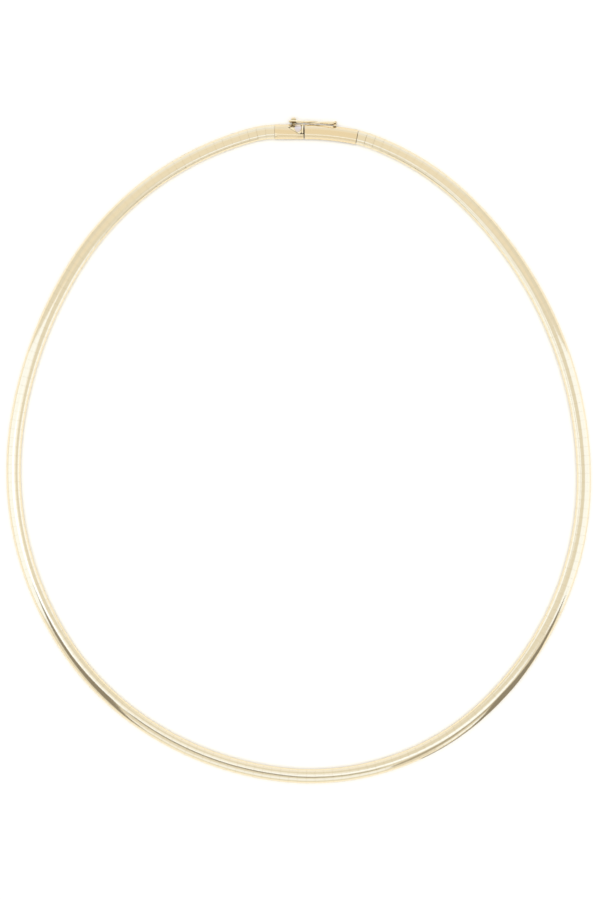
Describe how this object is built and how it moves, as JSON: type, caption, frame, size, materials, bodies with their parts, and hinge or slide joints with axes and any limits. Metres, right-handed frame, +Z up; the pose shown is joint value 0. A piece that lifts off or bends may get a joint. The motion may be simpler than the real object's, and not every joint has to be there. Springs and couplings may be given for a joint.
{
  "type": "omega necklace",
  "caption": "Closed omega necklace of domed gold plates on a woven core, with a box clasp whose thumb tab shows in a V notch and a wire safety catch beside it.",
  "frame": {"origin": "middle of the whole piece, on the surface that it lies on", "axes": "+Z up out of the domed face, +Y to the clasp, +X to the right with the clasp at the top; the barrel is right of the box"},
  "size_m": [0.1324, 0.1508, 0.0022],
  "materials": {
    "yellow_gold": "polished",
    "woven_gold": "satin",
    "white_spring_metal": "polished"
  },
  "bodies": {
    "necklace": {"omega_plates": "yellow_gold", "woven_core": "woven_gold", "clasp_box": "yellow_gold", "spring_tongue": "white_spring_metal", "clasp_barrel": "yellow_gold"},
    "catch": {"safety_catch": "yellow_gold"}
  },
  "joints": [
    {"name": "catch_hinge", "type": "hinge", "parent": "necklace", "child": "catch", "pos_m": [0.00822, 0.07412, 0.00112], "axis": [0, 0, -1], "range_deg": [0, 150]}
  ]
}
